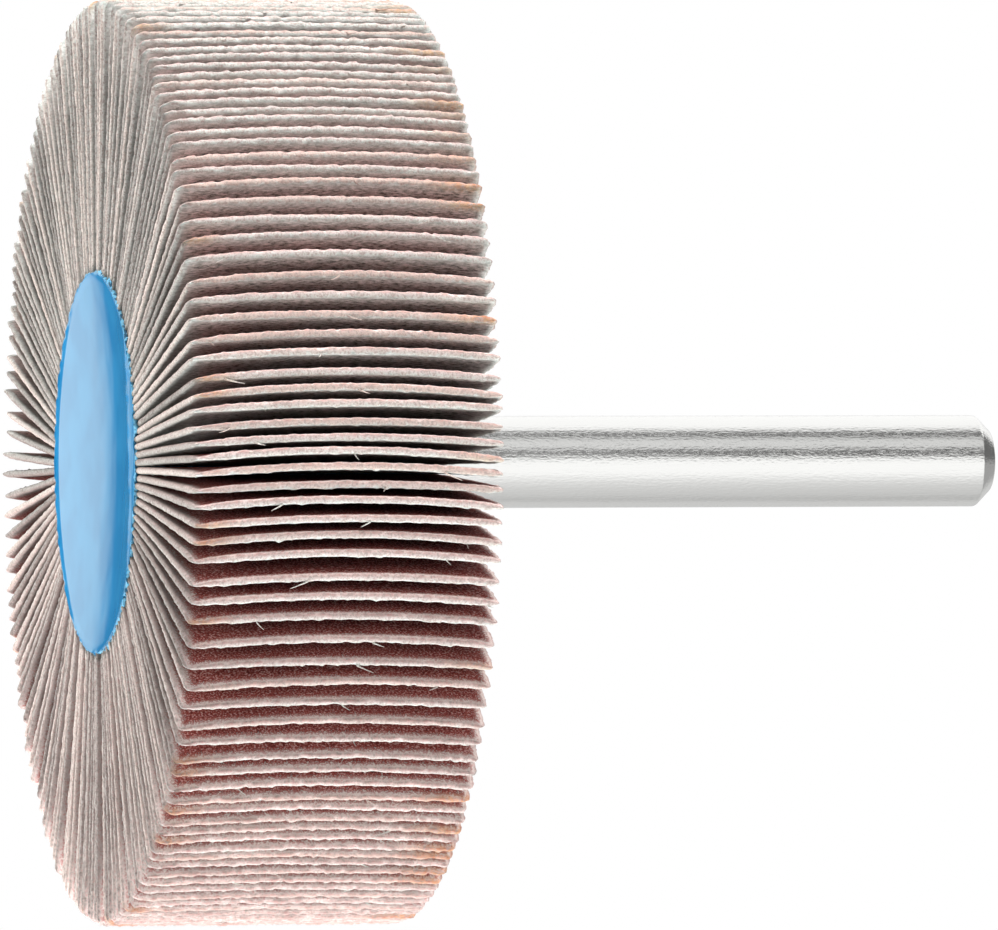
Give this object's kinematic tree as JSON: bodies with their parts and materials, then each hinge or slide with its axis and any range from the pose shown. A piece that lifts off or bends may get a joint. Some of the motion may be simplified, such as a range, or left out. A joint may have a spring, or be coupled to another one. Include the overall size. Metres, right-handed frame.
{
  "type": "flap wheel",
  "caption": "Round abrasive wheel of cloth flaps set on edge round a cast resin core, on a straight round steel shank for a drill or straight grinder.",
  "frame": {"origin": "centre of the wheel's front face, in the plane of the flaps' front edges", "axes": "+Z along the shank, from the front face to the shank's free end; the grit side of each flap faces clockwise when seen from the shank's end"},
  "size_m": [0.06, 0.06, 0.06],
  "materials": {
    "abrasive_cloth": "coated abrasive cloth, grey backing and red-brown grit, with pale cut edges",
    "blue_resin": "glossy cast epoxy resin",
    "shank_steel": "bright drawn steel"
  },
  "bodies": {
    "root": {"flap_group_01": "abrasive_cloth", "flap_group_02": "abrasive_cloth", "flap_group_03": "abrasive_cloth", "flap_group_04": "abrasive_cloth", "flap_group_05": "abrasive_cloth", "flap_group_06": "abrasive_cloth", "flap_group_07": "abrasive_cloth", "flap_group_08": "abrasive_cloth", "flap_group_09": "abrasive_cloth", "flap_group_10": "abrasive_cloth", "flap_group_11": "abrasive_cloth", "flap_group_12": "abrasive_cloth", "flap_group_13": "abrasive_cloth", "flap_group_14": "abrasive_cloth", "flap_group_15": "abrasive_cloth", "flap_group_16": "abrasive_cloth", "flap_group_17": "abrasive_cloth", "flap_group_18": "abrasive_cloth", "flap_group_19": "abrasive_cloth", "flap_group_20": "abrasive_cloth", "flap_group_21": "abrasive_cloth", "flap_group_22": "abrasive_cloth", "flap_group_23": "abrasive_cloth", "flap_group_24": "abrasive_cloth", "flap_group_25": "abrasive_cloth", "flap_group_26": "abrasive_cloth", "flap_group_27": "abrasive_cloth", "flap_group_28": "abrasive_cloth", "flap_group_29": "abrasive_cloth", "flap_group_30": "abrasive_cloth", "flap_group_31": "abrasive_cloth", "flap_group_32": "abrasive_cloth", "flap_group_33": "abrasive_cloth", "flap_group_34": "abrasive_cloth", "flap_group_35": "abrasive_cloth", "flap_group_36": "abrasive_cloth", "flap_group_37": "abrasive_cloth", "flap_group_38": "abrasive_cloth", "flap_group_39": "abrasive_cloth", "flap_group_40": "abrasive_cloth", "flap_group_41": "abrasive_cloth", "flap_group_42": "abrasive_cloth", "flap_group_43": "abrasive_cloth", "flap_group_44": "abrasive_cloth", "flap_group_45": "abrasive_cloth", "flap_group_46": "abrasive_cloth", "flap_group_47": "abrasive_cloth", "flap_group_48": "abrasive_cloth", "flap_group_49": "abrasive_cloth", "flap_group_50": "abrasive_cloth", "flap_group_51": "abrasive_cloth", "flap_group_52": "abrasive_cloth", "resin_core": "blue_resin", "shank": "shank_steel"}
  },
  "joints": []
}
